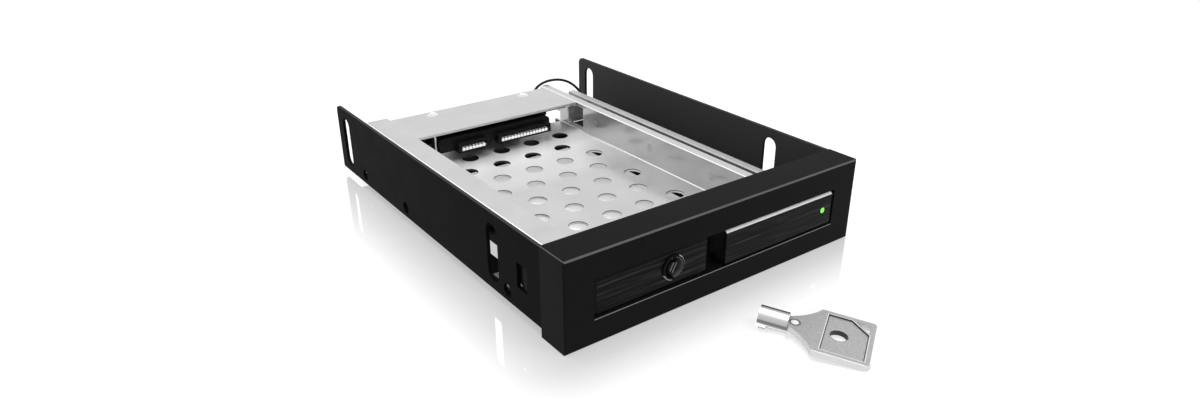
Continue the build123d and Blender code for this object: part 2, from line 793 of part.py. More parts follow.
# Hinge pins at the door's two ends, and the pin that drives the slide
with BuildPart() as hinge_pins:
    for end, way in ((door_bottom, 1), (door_top, -1)):
        with BuildSketch(at_height(end + way * hinge_pin_reach)):
            with Locations((hinge_x, hinge_y)):
                Circle(hinge_pin_diameter / 2)
        extrude(amount=-way * (hinge_pin_reach + door_gap + hinge_pin_seat))
with BuildPart() as yoke_pin:
    with BuildSketch(at_height(tongue_height + slide_sheet / 2 - yoke_pin_length / 2)):
        with Locations((crank_x, crank_y)):
            Circle(yoke_pin_diameter / 2)
    extrude(amount=yoke_pin_length)

# Lock barrel, fixed in the door
lock_front = left_panel_recess - lock_ring_rise
with BuildPart() as lock_barrel:
    with BuildSketch(lock_axis(left_panel_recess)):
        Circle(lock_ring_diameter / 2)
    extrude(amount=lock_ring_rise)
    with BuildSketch(lock_axis(lock_front + lock_length)):
        Circle(lock_body_diameter / 2)
    extrude(amount=lock_length - lock_ring_rise)
    with BuildSketch(lock_axis(lock_front + lock_length)):
        Circle(lock_bore_diameter / 2)
    extrude(amount=lock_length, mode=Mode.SUBTRACT)
    with BuildSketch(lock_axis(lock_front + keyway_depth)):
        with Locations((0, lock_bore_diameter / 2)):
            Rectangle(keyway_width, 2 * keyway_height)
    extrude(amount=keyway_depth, mode=Mode.SUBTRACT)
    ring_edges = lock_barrel.edges().filter_by(GeomType.CIRCLE).group_by(Axis.Y)[0]
    chamfer(ring_edges.sort_by(SortBy.RADIUS)[-1], ring_chamfer)

# Turning plug with its centre post, and the cam that it carries
plug_rear = door_depth + cam_gap + clip_sheet
with BuildPart() as lock_plug:
    with BuildSketch(lock_axis(plug_rear)):
        Circle(lock_bore_diameter / 2 - plug_gap)
    extrude(amount=plug_rear - lock_front - keyway_depth)
    with BuildSketch(lock_axis(lock_front + keyway_depth)):
        Circle(post_diameter / 2)
    extrude(amount=keyway_depth - post_recess)
    with BuildSketch(lock_axis(lock_front + post_recess)):
        with Locations((0, post_diameter / 2)):
            Rectangle(keyway_width, 2 * keyway_height)
    extrude(amount=-keyway_depth / 2, mode=Mode.SUBTRACT)
    with BuildSketch(lock_axis(plug_rear)):
        Circle(cam_screw_diameter / 2 + seat_gap)
    extrude(amount=cam_screw_length, mode=Mode.SUBTRACT)
with BuildPart() as lock_cam:
    with BuildSketch(lock_axis(plug_rear)):
        with Locations((-(cam_reach - cam_width / 2) / 2, 0)):
            SlotOverall(cam_reach + cam_width / 2, cam_width)
        Circle(cam_screw_diameter / 2 + seat_gap, mode=Mode.SUBTRACT)
    extrude(amount=-cam_sheet)
with BuildPart() as cam_screw:
    with BuildSketch(lock_axis(plug_rear + cam_sheet)):
        Circle(cam_screw_diameter / 2)
    extrude(amount=cam_sheet + cam_screw_length)
    with BuildSketch(lock_axis(plug_rear + cam_sheet)):
        Circle(cam_screw_head / 2)
    extrude(amount=-cam_screw_head_height)
    chamfer(cam_screw.edges().filter_by(GeomType.CIRCLE).group_by(Axis.Y)[-1], corner_gap / 2)
with BuildPart() as lock_clip:
    with BuildSketch(lock_axis(door_depth)):
        Circle(clip_diameter / 2)
        Circle(lock_body_diameter / 2 + seat_gap, mode=Mode.SUBTRACT)
        with Locations((0, -clip_diameter / 2)):
            Rectangle(lock_body_diameter / 2, clip_diameter / 2, mode=Mode.SUBTRACT)
    extrude(amount=-clip_sheet)

# Ejector slide: web, top flange, pusher behind the drive's corner and the forked tongue at the door
with BuildPart() as ejector_slide:
    with BuildSketch(facing_front(slide_rear)):
        with Locations((slide_inner, slide_bottom)):
            Rectangle(slide_sheet, slide_top - slide_bottom, align=(Align.MIN, Align.MIN))
        with Locations((slide_inner, slide_top)):
            Rectangle(slide_flange_width, slide_sheet, align=(Align.MIN, Align.MAX))
    extrude(amount=slide_rear - slide_front)
    fillet(long_edges(ejector_slide, slide_top).sort_by(Axis.X)[0], tray_bend)
    with Locations((slide_outer, front + pusher_station, pusher_bottom)):
        Box(slide_outer - bay_right + pusher_reach, slide_sheet, pusher_top - pusher_bottom,
            align=(Align.MAX, Align.MIN, Align.MIN))
    pin_reach = yoke_pin_diameter / 2 + yoke_slot_gap
    tongue_left = hinge_x - crank_radius - pin_reach - yoke_slot_gap
    tongue_right = max(crank_x + pin_reach + yoke_spine, slide_outer)
    tongue_front = crank_y - pin_reach - yoke_prong
    with BuildSketch(at_height(tongue_height)):
        with BuildLine():
            Polyline(
                (tongue_left, tongue_front),
                (tongue_right - yoke_lead, tongue_front),
                (tongue_right, tongue_front + yoke_lead),
                (tongue_right, front + slide_front + foot_width / 2),
                (slide_inner, front + slide_front + foot_width / 2),
                (slide_inner, front + slide_front),
                (tongue_left, front + slide_front),
                (tongue_left, crank_y + pin_reach),
                (crank_x + pin_reach, crank_y + pin_reach),
                (crank_x + pin_reach, crank_y - pin_reach),
                (tongue_left, crank_y - pin_reach),
                close=True,
            )
        make_face()
    extrude(amount=slide_sheet)
    guide_slot_length = slide_travel + guide_diameter + 2 * guide_end_gap
    with BuildSketch(Plane.YZ.offset(slide_inner)):
        with Locations([(front + y + slide_travel / 2, guide_height) for y in guide_stations]):
            SlotOverall(guide_slot_length, guide_diameter + 2 * running_gap)
    extrude(amount=slide_sheet, mode=Mode.SUBTRACT)

# Shoulder rivets and bushes that guide the slide along the tray's right wall
bush_start = bay_right + tray_sheet
bush_end = slide_inner - guide_side_gap
with BuildPart() as guide_bushes:
    with BuildSketch(Plane.YZ.offset(bush_start)):
        with Locations([(front + y, guide_height) for y in guide_stations]):
            Circle(guide_bush_diameter / 2)
            Circle(guide_diameter / 2 + seat_gap, mode=Mode.SUBTRACT)
    extrude(amount=bush_end - bush_start)
with BuildPart() as guide_rivets:
    with BuildSketch(Plane.YZ.offset(bay_right)):
        with Locations([(front + y, guide_height) for y in guide_stations]):
            Circle(guide_diameter / 2)
    extrude(amount=slide_outer + guide_side_gap - bay_right)
    with BuildSketch(Plane.YZ.offset(slide_outer + guide_side_gap)):
        with Locations([(front + y, guide_height) for y in guide_stations]):
            Circle(guide_bush_diameter / 2)
    extrude(amount=rivet_head_height)
    chamfer(guide_rivets.faces().filter_by(Axis.X).group_by(Axis.X)[-1].edges(), corner_gap)

# Status light in its holder behind the doorway
with BuildPart() as led_holder:
    with BuildSketch(facing_front(holder_rear)):
        with Locations((holder_left, light_height)):
            Rectangle(holder_right - holder_left, holder_height, align=(Align.MIN, Align.CENTER))
        with Locations((light_pipe_x, light_height)):
            Circle(led_diameter / 2 + seat_gap, mode=Mode.SUBTRACT)
    extrude(amount=holder_rear - tunnel_depth)
with BuildPart() as led:
    with BuildSketch(facing_front(holder_rear)):
        with Locations((light_pipe_x, light_height)):
            Circle(led_diameter / 2)
    extrude(amount=holder_rear - led_front)
    fillet(led.faces().sort_by(Axis.Y)[0].edges(), led_diameter / 2 - screw_clearance)
    with BuildSketch(facing_front(led_rear)):
        with Locations((light_pipe_x, light_height)):
            Circle(led_flange_diameter / 2)
    extrude(amount=led_rear - holder_rear)

# Lead from the board over the tray's rear corner and forward along the right rim
lead_points = [
    (header_x, header_rear, lead_height),
    (header_x, header_rear + lead_exit_run, lead_height),
    (26.4, 134.3, 13.8),
    (27.6, 135.3, 15.6),
    (30.2, 135.0, 17.7),
    (34.4, 134.3, 18.7),
    (39.4, 133.2, 18.3),
    (43.6, 131.8, 16.0),
    (46.4, 129.6, 12.0),
    (47.4, 126.0, 7.8),
    (46.8, 120.6, 4.6),
    (45.0, 112.0, 3.5),
    (43.2, 98.0, 3.6),
    (44.3, 81.0, 3.5),
    (43.0, 64.0, 3.6),
    (43.9, 48.0, 3.5),
    (42.8, 34.0, 3.9),
    (41.4, 24.5, 5.6),
    (39.4, 17.4, 9.0),
    (light_pipe_x, led_rear + lead_entry_run, light_height),
    (light_pipe_x, led_rear, light_height),
]
lead_route = [Vector(x, front + station, z) for x, station, z in lead_points]
lead_radii = []
for before, corner, after in zip(lead_route, lead_route[1:], lead_route[2:]):
    half_turn = radians((corner - before).get_angle(after - corner)) / 2
    shorter = min((corner - before).length, (after - corner).length)
    lead_radii.append(0.45 * shorter / tan(half_turn))
print("lead radii", [round(radius, 1) for radius in lead_radii])
with BuildPart() as led_lead:
    with BuildLine() as lead_line:
        FilletPolyline(*lead_route, radius=lead_radii)
    with BuildSketch(Plane(origin=lead_route[0], z_dir=lead_route[1] - lead_route[0])):
        Circle(lead_diameter / 2)
    sweep(path=lead_line.wires()[0])
print("lead length", round(lead_line.wires()[0].length, 1))

# Key: its tube rests on the surface at the neck, and its bow at the far edge
key_turn = radians(key_heading)
key_tilt = atan((key_tube_diameter - bow_sheet) / 2 / bow_length)
key_plane = Plane(
    origin=(key_x, front + key_y, key_tube_diameter / 2 * cos(key_tilt)),
    x_dir=(cos(key_turn) * cos(key_tilt), sin(key_turn) * cos(key_tilt), -sin(key_tilt)),
    z_dir=(cos(key_turn) * sin(key_tilt), sin(key_turn) * sin(key_tilt), cos(key_tilt)),
)
with BuildPart() as key_bow:
    with BuildSketch(key_plane.offset(-bow_sheet / 2)):
        with BuildLine():
            neck = bow_neck / 2
            half = bow_width / 2
            Line((0, -neck), (0, neck))
            ThreePointArc((0, neck), (bow_shoulder * 0.55, neck + (half - neck) * 0.38), (bow_shoulder, half))
            Polyline((bow_shoulder, half), (bow_length, half), (bow_length, -half), (bow_shoulder, -half))
            ThreePointArc((bow_shoulder, -half), (bow_shoulder * 0.55, -neck - (half - neck) * 0.38), (0, -neck))
        make_face()
        fillet(vertices().group_by(Axis.X)[-1], bow_corner)
        with Locations((bow_hole_station, 0)):
            Circle(bow_hole_diameter / 2, mode=Mode.SUBTRACT)
    extrude(amount=bow_sheet)
    panel_near = bow_shoulder + bow_rim
    panel_far = bow_length - bow_rim
    panel_half = bow_width / 2 - bow_rim
    with BuildSketch(key_plane.offset(bow_sheet / 2)):
        with BuildLine():
            Polyline(
                (panel_near, -panel_half),
                (panel_far, -panel_half),
                (panel_far, panel_half - ring_slot_side),
                (panel_far - ring_slot_side, panel_half),
                (panel_near, panel_half),
                close=True,
            )
        make_face()
        with Locations((bow_hole_station, 0)):
            Circle(bow_hole_diameter / 2, mode=Mode.SUBTRACT)
    extrude(amount=-bow_panel_sink, mode=Mode.SUBTRACT)
    slot_leg = ring_slot_side - bow_rim / 2
    with BuildSketch(key_plane.offset(-bow_sheet / 2)):
        with BuildLine():
            Polyline(
                (panel_far, panel_half),
                (panel_far - slot_leg, panel_half),
                (panel_far, panel_half - slot_leg),
                close=True,
            )
        make_face()
        fillet(vertices(), corner_gap)
    extrude(amount=bow_sheet, mode=Mode.SUBTRACT)

key_end_plane = Plane(origin=key_plane.origin, x_dir=key_plane.y_dir, z_dir=-key_plane.x_dir)
with BuildPart() as key_tube:
    with BuildSketch(key_end_plane):
        Circle(key_tube_diameter / 2)
    extrude(amount=key_tube_length)
    nub_middle = key_tube_diameter / 2 + key_nub_height / 2
    with BuildSketch(key_end_plane.offset(key_tube_length - key_nub_length)):
        with PolarLocations(nub_middle - key_nub_height / 2, 1, start_angle=180 - key_nub_angle):
            Rectangle(2 * key_nub_height, key_nub_width)
    extrude(amount=key_nub_length)
    with BuildSketch(key_end_plane.offset(key_tube_length - key_tube_cavity)):
        Circle(key_tube_bore / 2)
    extrude(amount=key_tube_cavity, mode=Mode.SUBTRACT)

pieces = {
    "bezel": bezel,
    "chassis": chassis,
    "drive_tray": drive_tray,
    "top_cover": top_cover,
    "cover_screws": cover_screws,
    "cover_rivets": cover_rivets,
    "foot_screws": foot_screws,
    "backplane": backplane,
    "board_post": board_post,
    "board_spacers": board_spacers,
    "board_nuts": board_nuts,
    "board_chip": board_chip,
    "board_capacitor": board_capacitor,
    "sata_socket": sata_socket,
    "signal_contacts": signal_contacts,
    "power_contacts": power_contacts,
    "data_port": data_port,
    "data_port_contacts": data_port_contacts,
    "power_port": power_port,
    "power_port_contacts": power_port_contacts,
    "lead_header": lead_header,
    "led_lead": led_lead,
    "led": led,
    "led_holder": led_holder,
    "guide_bushes": guide_bushes,
    "guide_rivets": guide_rivets,
    "ejector_slide": ejector_slide,
    "door_body": door_body,
    "lock_panel": lock_panel,
    "handle_panel": handle_panel,
    "light_pipe": light_pipe,
    "hinge_pins": hinge_pins,
    "yoke_pin": yoke_pin,
    "lock_barrel": lock_barrel,
    "lock_clip": lock_clip,
    "lock_plug": lock_plug,
    "lock_cam": lock_cam,
    "cam_screw": cam_screw,
    "key_bow": key_bow,
    "key_tube": key_tube,
}
os.makedirs("parts", exist_ok=True)
for name, piece in pieces.items():
    piece.part.label = name
    export_step(piece.part, f"parts/{name}.step")
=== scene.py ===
import bpy
import bmesh
from math import cos, radians, sin
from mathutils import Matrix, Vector


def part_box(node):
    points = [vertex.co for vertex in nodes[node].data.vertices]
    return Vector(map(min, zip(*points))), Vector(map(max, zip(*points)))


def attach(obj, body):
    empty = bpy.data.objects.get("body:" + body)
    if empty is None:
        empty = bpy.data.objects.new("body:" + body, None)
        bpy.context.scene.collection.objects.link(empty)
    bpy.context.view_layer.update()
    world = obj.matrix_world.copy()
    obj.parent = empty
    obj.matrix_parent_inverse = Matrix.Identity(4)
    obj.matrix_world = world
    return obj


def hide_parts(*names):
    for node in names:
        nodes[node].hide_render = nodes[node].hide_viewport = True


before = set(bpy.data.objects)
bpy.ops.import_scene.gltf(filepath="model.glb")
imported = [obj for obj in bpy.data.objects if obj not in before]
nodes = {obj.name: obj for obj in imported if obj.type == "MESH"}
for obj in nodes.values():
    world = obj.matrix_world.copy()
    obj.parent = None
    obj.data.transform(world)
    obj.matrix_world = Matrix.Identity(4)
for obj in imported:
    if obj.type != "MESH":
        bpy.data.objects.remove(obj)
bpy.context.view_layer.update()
MM = 0.001
WHITE = (1.0, 1.0, 1.0)

# Camera at the photograph's viewpoint
scene = bpy.context.scene
camera_data = bpy.data.cameras.new("camera")
camera_data.sensor_fit = "HORIZONTAL"
camera_data.sensor_width = 36.0
camera_data.lens = 25.07
camera_data.clip_start = 0.01
camera = bpy.data.objects.new("camera", camera_data)
scene.collection.objects.link(camera)
azimuth, elevation = radians(36.551), radians(25.211)
look = Vector((sin(azimuth) * cos(elevation), cos(azimuth) * cos(elevation), -sin(elevation)))
camera.location = (-0.14002, -0.13900, 0.11534)
camera.rotation_mode = "QUATERNION"
camera.rotation_quaternion = look.to_track_quat("-Z", "Y")
scene.camera = camera

# The status light's lead: the same route as the solid's, as one smooth spline
lead_radius = 0.5
lead_points = [
    (26.0, 124.7, 12.6),
    (26.0, 127.2, 12.6),
    (26.4, 129.3, 13.8),
    (27.6, 130.3, 15.6),
    (30.2, 130.0, 17.7),
    (34.4, 129.3, 18.7),
    (39.4, 128.2, 18.3),
    (43.6, 126.8, 16.0),
    (46.4, 124.6, 12.0),
    (47.4, 121.0, 7.8),
    (46.8, 115.6, 4.6),
    (45.0, 107.0, 3.5),
    (43.2, 93.0, 3.6),
    (44.3, 76.0, 3.5),
    (43.0, 59.0, 3.6),
    (43.9, 43.0, 3.5),
    (42.8, 29.0, 3.9),
    (41.4, 19.5, 5.6),
    (39.4, 12.4, 9.0),
    (37.84, 9.1, 12.5),
    (37.84, 5.9, 12.5),
]
lead_curve = bpy.data.curves.new("lead", "CURVE")
lead_curve.dimensions = "3D"
lead_spline = lead_curve.splines.new("NURBS")
lead_spline.points.add(len(lead_points) - 1)
for point, (x, y, z) in zip(lead_spline.points, lead_points):
    point.co = (x * MM, y * MM, z * MM, 1.0)
lead_spline.order_u = 3
lead_spline.use_endpoint_u = True
lead_spline.resolution_u = 8
lead_curve.bevel_depth = lead_radius * MM
lead_curve.bevel_resolution = 4
lead_curve.use_fill_caps = True
lead = bpy.data.objects.new("lead", lead_curve)
scene.collection.objects.link(lead)

# Places on the part that the patterns need, in its own millimetres
BEZEL_HALF = 50.8
BEZEL_FRONT = -5.0
BEZEL_TOP = 25.0
SILL_TOP = 7.0
DOORWAY_HALF = 42.3
PLATES_UPPER = 20.0         # the chassis' upward faces over this height are its plates' upper edges
RIGHT_PLATE = 40.0          # the right side plate lies beyond this
TRAY_FLOOR = 7.1
PAINTED_SHADE_HOLES = 90.0           # from here to the socket the holes' walls are painted dark, as painted shade under the board
SOCKET_PAINTED_LIGHT = (66.0, 90.0)  # where the tray's floor is painted paler toward the socket, as painted light
CONTACT_SPANS = ((-16.25, 4.5), (4.15, 9.5))    # centre and half width of each row of contacts
CONTACT_FLOOR = 11.9        # floor of the socket's mouths, where the contacts lie
CONTACT_FACE = 99.8         # front face of the socket's lips
CONTACT_HEIGHT = 0.95       # of the contacts' faces on the lips
CONTACT_PITCH = 1.27
LOCK_PANEL_BORDER = (-40.95, 16.35)     # inner edges of the painted shadow along the lock panel's left and top, cast by the doorway's edges
LOCK_CENTRE = (-17.5, 12.4)
HAIR = 0.02                 # added to a limit so that a face lying on it is inside

# The lock's ring: painted highlight arcs from one radius to another, between two angles, each with its tone
RING_HIGHLIGHT_ARCS = (
    (2.78, 2.92, -1.50, 1.90, 0.10),
    (3.25, 3.52, -2.75, -1.75, 0.30),
    (3.34, 3.52, -1.05, 1.05, 0.60),
)
# The lock's core: two slanted painted highlight bars, each with its distance from the centre and its half
# length
CORE_HIGHLIGHT_BARS = ((-0.50, 1.15), (0.50, 1.45))
CORE_BAR_HALF = 0.20
CORE_SLANT = radians(62.0)

# The key's own frame, and places on its bow in millimetres along and across the key
KEY_ORIGIN = (-1.53, -28.84, 2.64)
KEY_TURN, KEY_TILT = radians(-58.8), radians(5.18)
PANEL_START, PANEL_END, PANEL_HALF = 8.6, 18.8, 7.9
PANEL_CUT = 22.1            # along and across together, at the panel's cut corner
BOW_END, BOW_HALF = 20.4, 9.5
BOW_HOLE, BOW_HOLE_RADIUS = 12.1, 2.22
# the neck's dimple is painted: a ring of painted shade round a painted highlight
DIMPLE, DIMPLE_RADIUS, DIMPLE_HIGHLIGHT = 1.5, 1.45, 0.95

# The cosine between a face's normal and an axis, from which the face counts as turned that way
LEANING, SQUARE, EXACT = 0.5, 0.9, 0.97


def new_material(name):
    """A material with its Principled shader and a coordinate node that every pattern starts from."""
    material = bpy.data.materials.new(name)
    material.use_nodes = True
    tree = material.node_tree
    shader = tree.nodes["Principled BSDF"]
    coordinates = tree.nodes.new("ShaderNodeTexCoord")
    return material, tree, shader, coordinates.outputs["Object"]


def noise(tree, vector, scale, detail=3.0, stretch=None, roughness=0.5):
    """Noise with features about 1/scale metres wide, stretched along an axis if asked."""
    if stretch:
        mapping = tree.nodes.new("ShaderNodeMapping")
        mapping.inputs["Scale"].default_value = stretch
        tree.links.new(vector, mapping.inputs["Vector"])
        vector = mapping.outputs["Vector"]
    texture = tree.nodes.new("ShaderNodeTexNoise")
    texture.inputs["Scale"].default_value = scale
    texture.inputs["Detail"].default_value = detail
    texture.inputs["Roughness"].default_value = roughness
    tree.links.new(vector, texture.inputs["Vector"])
    return texture.outputs["Fac"]


def spread(tree, factor, low, high, start=0.3, end=0.7, interpolation="LINEAR"):
    """Maps a value's range from start to end onto the one from low to high."""
    node = tree.nodes.new("ShaderNodeMapRange")
    node.interpolation_type = interpolation
    node.inputs["From Min"].default_value = start
    node.inputs["From Max"].default_value = end
    node.inputs["To Min"].default_value = low
    node.inputs["To Max"].default_value = high
    tree.links.new(factor, node.inputs["Value"])
    return node.outputs["Result"]


def ramp(tree, factor, stops):
    """Maps a pattern onto colours, each given with its place on the way from 0 to 1."""
    node = tree.nodes.new("ShaderNodeValToRGB")
    elements = node.color_ramp.elements
    while len(elements) < len(stops):
        elements.new(0.5)
    for element, (place, colour) in zip(elements, stops):
        element.position = place
        element.color = (*colour, 1.0)
    tree.links.new(factor, node.inputs["Fac"])
    return node.outputs["Color"]


def bump(tree, shader, height, distance):
    """Lays a pattern on a surface as relief of a depth in metres."""
    node = tree.nodes.new("ShaderNodeBump")
    node.inputs["Distance"].default_value = distance
    node.inputs["Strength"].default_value = 1.0
    tree.links.new(height, node.inputs["Height"])
    tree.links.new(node.outputs["Normal"], shader.inputs["Normal"])


def grey(value, tint=WHITE):
    """A grey of a linear value, tinted if asked."""
    return tuple(value * t for t in tint)


def grained(name, tones, roughness, grain, depth, metallic=0.0, specular=0.5, tint=WHITE):
    """Surface whose tone and roughness each vary over a range, with a fine grain in relief."""
    material, tree, shader, place = new_material(name)
    broad = noise(tree, place, grain * 0.04, detail=4.0)
    fine = noise(tree, place, grain, detail=2.0, roughness=0.6)
    colour = ramp(tree, broad, [(0.3, grey(tones[0], tint)), (0.7, grey(tones[1], tint))])
    tree.links.new(colour, shader.inputs["Base Color"])
    tree.links.new(spread(tree, broad, *roughness), shader.inputs["Roughness"])
    shader.inputs["Metallic"].default_value = metallic
    shader.inputs["Specular IOR Level"].default_value = specular
    bump(tree, shader, fine, depth)
    return material


def maths(tree, operation, *values):
    """One math node; each value is a number or another node's output."""
    node = tree.nodes.new("ShaderNodeMath")
    node.operation = operation
    for socket, value in zip(node.inputs, values):
        if isinstance(value, (int, float)):
            socket.default_value = value
        else:
            tree.links.new(value, socket)
    return node.outputs["Value"]


def above(tree, value, limit):
    """1 where a value is over a limit."""
    return maths(tree, "GREATER_THAN", value, limit)


def below(tree, value, limit):
    """1 where a value is under a limit."""
    return maths(tree, "LESS_THAN", value, limit)


def between(tree, value, low, high):
    """1 where a value lies between two numbers."""
    return maths(tree, "MULTIPLY", above(tree, value, low), below(tree, value, high))


def every(tree, *factors):
    """1 where every factor is 1."""
    result = factors[0]
    for factor in factors[1:]:
        result = maths(tree, "MULTIPLY", result, factor)
    return result


def greatest(tree, *values):
    """The greatest of several values; among factors, 1 where any of them is 1."""
    result = values[0]
    for value in values[1:]:
        result = maths(tree, "MAXIMUM", result, value)
    return result


def distance(tree, across, up):
    """How far a point lies from the middle of its plane."""
    squares = [maths(tree, "POWER", value, 2.0) for value in (across, up)]
    return maths(tree, "SQRT", maths(tree, "ADD", *squares))


def axes(tree, vector):
    """The X, Y and Z of a vector."""
    node = tree.nodes.new("ShaderNodeSeparateXYZ")
    tree.links.new(vector, node.inputs["Vector"])
    return node.outputs["X"], node.outputs["Y"], node.outputs["Z"]


def place_in_mm(tree):
    """The point's X, Y and Z in the part's own frame, in millimetres."""
    coordinates = tree.nodes.new("ShaderNodeTexCoord")
    scale = tree.nodes.new("ShaderNodeVectorMath")
    scale.operation = "SCALE"
    scale.inputs["Scale"].default_value = 1.0 / MM
    tree.links.new(coordinates.outputs["Object"], scale.inputs[0])
    return axes(tree, scale.outputs["Vector"])


def face_normal(tree):
    """The X, Y and Z of the face's own normal."""
    return axes(tree, tree.nodes.new("ShaderNodeNewGeometry").outputs["True Normal"])


def along(tree, vector, direction):
    """How far a vector reaches along a direction."""
    total = None
    for value, share in zip(vector, direction):
        term = maths(tree, "MULTIPLY", value, share)
        total = term if total is None else maths(tree, "ADD", total, term)
    return total


def painted_over(tree, shader, socket, factor, value):
    """Lays a second colour or number over a socket's own pattern where the factor is 1."""
    under = shader.inputs[socket].links[0].from_socket
    mix = tree.nodes.new("ShaderNodeMix")
    if socket == "Base Color":
        mix.data_type = "RGBA"
        first, second, result = mix.inputs[6], mix.inputs[7], mix.outputs[2]
        value = (*value, 1.0)
    else:
        first, second, result = mix.inputs[2], mix.inputs[3], mix.outputs[0]
    tree.links.new(factor, mix.inputs[0])
    tree.links.new(under, first)
    second.default_value = value
    tree.links.new(result, shader.inputs[socket])


def paint(material, factor, tone, roughness=None):
    """Gives a region of a material its own grey, and its own roughness if asked."""
    tree = material.node_tree
    shader = tree.nodes["Principled BSDF"]
    painted_over(tree, shader, "Base Color", factor, grey(tone))
    if roughness is not None:
        painted_over(tree, shader, "Roughness", factor, roughness)


def moulded_bezel():
    """Fine black moulding, with a thin painted highlight on its chamfered edges, the edge of its door sill
    and its top-left corner.
    """
    line_height, corner_width, front_slack, top_slack = 0.28, 0.35, 0.1, 0.05
    material = grained("bezel_black", (0.0055, 0.0072), (0.46, 0.54), 5200.0, 0.000012, specular=0.025)
    tree = material.node_tree
    x, y, z = place_in_mm(tree)
    chamfer = between(tree, face_normal(tree)[2], LEANING, SQUARE)
    sill = every(tree, between(tree, z, SILL_TOP - line_height, SILL_TOP),
                 between(tree, x, -DOORWAY_HALF, DOORWAY_HALF), below(tree, y, BEZEL_FRONT + front_slack))
    corner = every(tree, below(tree, x, corner_width - BEZEL_HALF), above(tree, z, BEZEL_TOP - top_slack))
    # painted highlights: lighter greys on the chamfers, the sill's edge and the top-left corner
    paint(material, chamfer, tone=0.085)
    paint(material, sill, tone=0.17)
    paint(material, corner, tone=0.070)
    return material


def painted_sheet():
    """Satin black sheet, with a painted highlight on its upper edges and painted light, as if reflected from
    the tray, on the right plate's inner face.
    """
    material = grained("chassis_black", (0.0035, 0.0050), (0.46, 0.54), 3800.0, 0.000010, specular=0.012)
    tree = material.node_tree
    x, _, z = place_in_mm(tree)
    normal = face_normal(tree)
    # painted highlight on the plates' upper edges
    paint(material, every(tree, above(tree, normal[2], LEANING), above(tree, z, PLATES_UPPER)), tone=0.040)
    # painted light on the right plate's inner face, standing in for light reflected from the tray
    paint(material, every(tree, below(tree, normal[0], -SQUARE), above(tree, x, RIGHT_PLATE)), tone=0.050)
    return material


def tray_sheet():
    """Bright tray sheet with painted light and shade: the floor painted paler toward the socket, the holes'
    walls painted pale with a thin painted shade line under each rim and painted shade near the socket, and a
    painted highlight on the bend.
    """
    upright, rim_line, bend_start = 0.3, 0.24, 0.2
    material = grained("tray_silver", (0.50, 0.57), (0.15, 0.21), 1400.0, 0.0000010, metallic=0.72)
    tree = material.node_tree
    _, y, z = place_in_mm(tree)
    normal = face_normal(tree)
    in_floor = below(tree, z, TRAY_FLOOR + HAIR)
    hole_wall = every(tree, in_floor, between(tree, normal[2], -upright, upright))
    # the holes' walls painted pale as if lit, a thin painted shade line under each rim, painted shade on the
    # walls near the socket
    paint(material, hole_wall, tone=0.85, roughness=0.5)
    paint(material, every(tree, hole_wall, above(tree, z, TRAY_FLOOR - rim_line)), tone=0.03, roughness=0.5)
    paint(material, every(tree, hole_wall, above(tree, y, PAINTED_SHADE_HOLES)), tone=0.03, roughness=0.5)
    # painted light: the floor painted paler toward the socket
    rear = every(tree, spread(tree, y, 0.0, 1.0, *SOCKET_PAINTED_LIGHT), in_floor, above(tree, normal[2], SQUARE))
    paint(material, rear, tone=0.92, roughness=0.42)
    # painted highlight along the bend between the floor and the right wall
    bend = every(tree, between(tree, normal[0], -EXACT, -bend_start),
                 between(tree, normal[2], bend_start, EXACT))
    paint(material, bend, tone=0.98)
    return material


def cover_sheet():
    """Satin cover sheet with a painted highlight on its outer bend and painted shade on its lip below it."""
    bend_start, bend_lowest, bend_end = 0.15, 0.2, 0.99
    material = grained("cover_silver", (0.52, 0.56), (0.34, 0.42), 2600.0, 0.000003, metallic=0.85)
    tree = material.node_tree
    normal = face_normal(tree)
    bend = every(tree, between(tree, normal[0], -EXACT, -bend_start),
                 between(tree, normal[2], bend_lowest, bend_end))
    # painted highlight on the outer bend, painted shade on the sideways lip
    paint(material, bend, tone=0.98)
    paint(material, below(tree, normal[0], -EXACT), tone=0.16)
    return material


def socket_moulding():
    """Black socket whose two lips show the bright faces of the contacts, one beside the next."""
    left_of_all, gap_share = 200.0, 0.25
    material = grained("socket_black", (0.004, 0.007), (0.36, 0.46), 4200.0, 0.000006, specular=0.08)
    tree = material.node_tree
    x, y, z = place_in_mm(tree)
    spans = [between(tree, x, centre - half, centre + half) for centre, half in CONTACT_SPANS]
    lip = every(tree, between(tree, z, CONTACT_FLOOR - CONTACT_HEIGHT, CONTACT_FLOOR + HAIR),
                below(tree, y, CONTACT_FACE + HAIR), greatest(tree, *spans))
    step = maths(tree, "FRACT", maths(tree, "DIVIDE", maths(tree, "ADD", x, left_of_all), CONTACT_PITCH))
    paint(material, lip, tone=0.42)
    paint(material, every(tree, lip, above(tree, step, gap_share)), tone=0.98, roughness=0.3)
    return material


def lock_metal(name):
    """Dark lock metal, with a point's place across and up from the lock's centre."""
    material = grained(name, (0.003, 0.005), (0.24, 0.32), 2200.0, 0.000002, specular=0.04)
    tree = material.node_tree
    x, _, z = place_in_mm(tree)
    across, up = maths(tree, "SUBTRACT", x, LOCK_CENTRE[0]), maths(tree, "SUBTRACT", z, LOCK_CENTRE[1])
    return material, tree, across, up


def ring_metal():
    """The lock's ring, with painted highlight arcs for the light on its turned face."""
    material, tree, across, up = lock_metal("lock_ring")
    radius = distance(tree, across, up)
    angle = maths(tree, "ARCTAN2", up, across)
    for inner, outer, start, end, tone in RING_HIGHLIGHT_ARCS:
        arc = every(tree, between(tree, radius, inner, outer), between(tree, angle, start, end))
        paint(material, arc, tone)
    return material


def core_metal():
    """The lock's core, with two painted highlight bars in its keyway."""
    material, tree, across, up = lock_metal("lock_core")
    length = along(tree, (across, up), (cos(CORE_SLANT), sin(CORE_SLANT)))
    side = along(tree, (across, up), (sin(CORE_SLANT), -cos(CORE_SLANT)))
    bars = [every(tree, between(tree, side, middle - CORE_BAR_HALF, middle + CORE_BAR_HALF),
                  between(tree, length, -reach, reach)) for middle, reach in CORE_HIGHLIGHT_BARS]
    paint(material, greatest(tree, *bars), tone=0.13)
    return material


